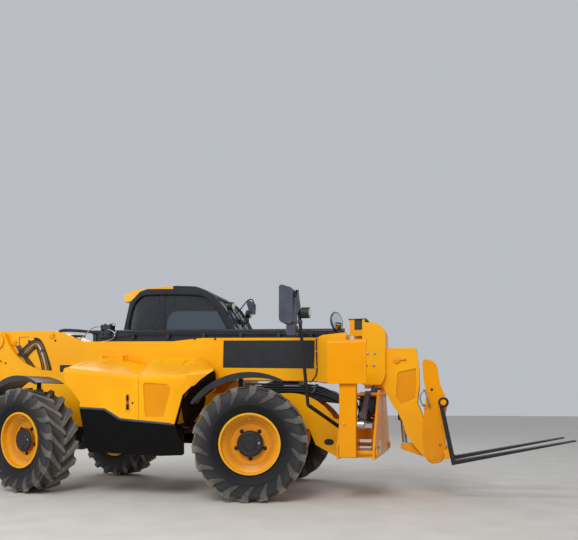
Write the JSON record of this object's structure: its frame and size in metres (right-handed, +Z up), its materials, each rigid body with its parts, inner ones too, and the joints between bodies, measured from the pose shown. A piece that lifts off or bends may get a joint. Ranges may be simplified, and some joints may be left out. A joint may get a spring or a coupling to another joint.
{
  "type": "telehandler",
  "caption": "Telescopic handler with a side cab, engine pod, telescoping boom, fork carriage, front stabilisers and steered wheels",
  "frame": {"origin": "on the ground under the middle of the machine's length and width", "axes": "+X forward along the boom, +Y to the machine's left, +Z up"},
  "size_m": [7.8143, 2.6469, 2.7103],
  "materials": {
    "frame_paint": "smooth",
    "axle_paint": "smooth",
    "engine_paint": "smooth",
    "body_paint": "smooth",
    "dark_plastic": "matte",
    "dark_paint": "smooth",
    "roof_panel": "smooth",
    "glass": "smooth",
    "cab_trim": "matte",
    "dark_steel": "smooth",
    "lamp": "smooth",
    "boom_paint": "smooth",
    "hose_tube": "smooth",
    "carriage_paint": "smooth",
    "fork_steel": "smooth",
    "ram_paint": "smooth",
    "chrome": "polished",
    "rim_paint": "smooth",
    "tyre": "matte",
    "knuckle_paint": "smooth",
    "leg_paint": "smooth"
  },
  "bodies": {
    "chassis": {"chassis_frame": "frame_paint", "outriggers": "axle_paint", "front_carrier": "frame_paint", "axles": "axle_paint", "engine_block": "engine_paint", "engine_pod": "body_paint", "air_duct": "dark_plastic", "side_skirts": "dark_plastic", "cab_base": "body_paint", "cab_frame": "dark_paint", "cab_roof": "roof_panel", "cab_glass": "glass", "cab_interior": "cab_trim", "tow_hitch": "dark_steel", "mirrors": "dark_plastic", "lamps": "lamp"},
    "bonnet": {"bonnet": "body_paint"},
    "door": {"cab_door": "dark_paint", "cab_door_glass": "glass"},
    "boom_outer": {"boom_outer": "boom_paint", "boom_pipe": "hose_tube"},
    "boom_middle": {"boom_middle": "boom_paint"},
    "boom_inner": {"boom_inner": "boom_paint"},
    "carriage": {"carriage": "carriage_paint", "forks": "fork_steel"},
    "lift_barrel": {"lift_ram_barrel": "ram_paint"},
    "lift_rod": {"lift_ram_rod": "chrome"},
    "tilt_barrel": {"tilt_ram_barrel": "ram_paint"},
    "tilt_rod": {"tilt_ram_rod": "chrome"},
    "stabiliser_leg_right": {"stabiliser_leg_right": "leg_paint"},
    "stabiliser_foot_right": {"stabiliser_foot_right": "leg_paint"},
    "stabiliser_barrel_right": {"stabiliser_ram_barrel_right": "ram_paint"},
    "stabiliser_rod_right": {"stabiliser_ram_rod_right": "chrome"},
    "stabiliser_leg_left": {"stabiliser_leg_left": "leg_paint"},
    "stabiliser_foot_left": {"stabiliser_foot_left": "leg_paint"},
    "stabiliser_barrel_left": {"stabiliser_ram_barrel_left": "ram_paint"},
    "stabiliser_rod_left": {"stabiliser_ram_rod_left": "chrome"},
    "knuckle_front_right": {"knuckle_front_right": "knuckle_paint"},
    "wheel_front_right": {"rim_front_right": "rim_paint", "tyre_front_right": "tyre"},
    "knuckle_front_left": {"knuckle_front_left": "knuckle_paint"},
    "wheel_front_left": {"rim_front_left": "rim_paint", "tyre_front_left": "tyre"},
    "knuckle_rear_right": {"knuckle_rear_right": "knuckle_paint"},
    "wheel_rear_right": {"rim_rear_right": "rim_paint", "tyre_rear_right": "tyre"},
    "knuckle_rear_left": {"knuckle_rear_left": "knuckle_paint"},
    "wheel_rear_left": {"rim_rear_left": "rim_paint", "tyre_rear_left": "tyre"}
  },
  "joints": [
    {"name": "boom_lift", "type": "hinge", "parent": "chassis", "child": "boom_outer", "pos_m": [-3.48, -0.05, 1.96], "axis": [0, -1, 0], "range_deg": [0, 68]},
    {"name": "boom_extend_middle", "type": "slide", "parent": "boom_outer", "child": "boom_middle", "axis": [0.9997, 0, -0.0262], "range_m": [0, 3.5]},
    {"name": "boom_extend_inner", "type": "slide", "parent": "boom_middle", "child": "boom_inner", "axis": [0.9997, 0, -0.0262], "range_m": [0, 3.5]},
    {"name": "carriage_tilt", "type": "hinge", "parent": "boom_inner", "child": "carriage", "pos_m": [2.45, -0.05, 0.49], "axis": [0, -1, 0], "range_deg": [-44, 22]},
    {"name": "lift_ram_swing", "type": "hinge", "parent": "chassis", "child": "lift_barrel", "pos_m": [-2.98, -0.05, 0.95], "axis": [0, -1, 0], "range_deg": [0, 60.43]},
    {"name": "lift_ram_stroke", "type": "slide", "parent": "lift_barrel", "child": "lift_rod", "axis": [0.979, 0, 0.2038], "range_m": [0, 1.21876]},
    {"name": "tilt_ram_swing", "type": "hinge", "parent": "boom_inner", "child": "tilt_barrel", "pos_m": [2.009, -0.05, 1.605], "axis": [0, -1, 0], "range_deg": [-4.06, 8.02]},
    {"name": "tilt_ram_stroke", "type": "slide", "parent": "tilt_barrel", "child": "tilt_rod", "axis": [0.0884, 0, -0.9961], "range_m": [-0.20835, 0.10467]},
    {"name": "bonnet_hinge", "type": "hinge", "parent": "chassis", "child": "bonnet", "pos_m": [-1.327, -0.36, 1.704], "axis": [-1, 0, 0], "range_deg": [0, 60]},
    {"name": "door_hinge", "type": "hinge", "parent": "chassis", "child": "door", "pos_m": [-1.705, 1.172, 1.72], "axis": [0, 0, 1], "range_deg": [0, 75]},
    {"name": "stabiliser_swing_right", "type": "hinge", "parent": "chassis", "child": "stabiliser_leg_right", "pos_m": [1.545, -0.75, 0.54], "axis": [1, 0, 0], "range_deg": [0, 111]},
    {"name": "foot_level_right", "type": "hinge", "parent": "stabiliser_leg_right", "child": "stabiliser_foot_right", "pos_m": [1.545, -0.85, 1.44], "axis": [1, 0, 0], "range_deg": [-21.1, 0]},
    {"name": "stabiliser_ram_swing_right", "type": "hinge", "parent": "chassis", "child": "stabiliser_barrel_right", "pos_m": [1.685, -0.26, 1.19], "axis": [1, 0, 0], "range_deg": [0, 19.26]},
    {"name": "stabiliser_ram_stroke_right", "type": "slide", "parent": "stabiliser_barrel_right", "child": "stabiliser_rod_right", "axis": [0, -0.8683, -0.496], "range_m": [0, 0.45688]},
    {"name": "stabiliser_swing_left", "type": "hinge", "parent": "chassis", "child": "stabiliser_leg_left", "pos_m": [1.695, 0.75, 0.54], "axis": [-1, 0, 0], "range_deg": [0, 111]},
    {"name": "foot_level_left", "type": "hinge", "parent": "stabiliser_leg_left", "child": "stabiliser_foot_left", "pos_m": [1.695, 0.85, 1.44], "axis": [-1, 0, 0], "range_deg": [-21.1, 0]},
    {"name": "stabiliser_ram_swing_left", "type": "hinge", "parent": "chassis", "child": "stabiliser_barrel_left", "pos_m": [1.554, 0.26, 1.19], "axis": [-1, 0, 0], "range_deg": [0, 19.26]},
    {"name": "stabiliser_ram_stroke_left", "type": "slide", "parent": "stabiliser_barrel_left", "child": "stabiliser_rod_left", "axis": [0, 0.8683, -0.496], "range_m": [0, 0.45688]},
    {"name": "steer_front_right", "type": "hinge", "parent": "chassis", "child": "knuckle_front_right", "pos_m": [0.42, -0.72, 0.64], "axis": [0, 0, 1], "range_deg": [-47, 23]},
    {"name": "spin_front_right", "type": "hinge", "parent": "knuckle_front_right", "child": "wheel_front_right", "pos_m": [0.47302, -0.96943, 0.64], "axis": [-0.2079, 0.9781, 0], "continuous": true},
    {"name": "steer_front_left", "type": "hinge", "parent": "chassis", "child": "knuckle_front_left", "pos_m": [0.42, 0.72, 0.64], "axis": [0, 0, 1], "range_deg": [-47, 23]},
    {"name": "spin_front_left", "type": "hinge", "parent": "knuckle_front_left", "child": "wheel_front_left", "pos_m": [0.36698, 0.96943, 0.64], "axis": [-0.2079, 0.9781, 0], "continuous": true},
    {"name": "steer_rear_right", "type": "hinge", "parent": "chassis", "child": "knuckle_rear_right", "pos_m": [-2.33, -0.72, 0.64], "axis": [0, 0, 1], "range_deg": [-20, 50]},
    {"name": "spin_rear_right", "type": "hinge", "parent": "knuckle_rear_right", "child": "wheel_rear_right", "pos_m": [-2.396, -0.96631, 0.64], "axis": [0.2588, 0.9659, 0], "continuous": true},
    {"name": "steer_rear_left", "type": "hinge", "parent": "chassis", "child": "knuckle_rear_left", "pos_m": [-2.33, 0.72, 0.64], "axis": [0, 0, 1], "range_deg": [-20, 50]},
    {"name": "spin_rear_left", "type": "hinge", "parent": "knuckle_rear_left", "child": "wheel_rear_left", "pos_m": [-2.264, 0.96631, 0.64], "axis": [0.2588, 0.9659, 0], "continuous": true}
  ],
  "couplings": [
    {"joint": "boom_extend_inner", "follows": "boom_extend_middle", "ratio": 1},
    {"joint": "lift_ram_swing", "follows": "boom_lift", "ratio": 0.88726},
    {"joint": "lift_ram_stroke", "follows": "boom_lift", "m_per_rad": 1.0252},
    {"joint": "tilt_ram_swing", "follows": "carriage_tilt", "ratio": -0.18},
    {"joint": "tilt_ram_stroke", "follows": "carriage_tilt", "m_per_rad": 0.27},
    {"joint": "foot_level_right", "follows": "stabiliser_swing_right", "ratio": -0.18919},
    {"joint": "stabiliser_ram_swing_right", "follows": "stabiliser_swing_right", "ratio": 0.17265},
    {"joint": "stabiliser_ram_stroke_right", "follows": "stabiliser_swing_right", "m_per_rad": 0.23531},
    {"joint": "foot_level_left", "follows": "stabiliser_swing_left", "ratio": -0.18919},
    {"joint": "stabiliser_ram_swing_left", "follows": "stabiliser_swing_left", "ratio": 0.17265},
    {"joint": "stabiliser_ram_stroke_left", "follows": "stabiliser_swing_left", "m_per_rad": 0.23531},
    {"joint": "steer_front_left", "follows": "steer_front_right", "ratio": 1},
    {"joint": "steer_rear_left", "follows": "steer_rear_right", "ratio": 1}
  ]
}
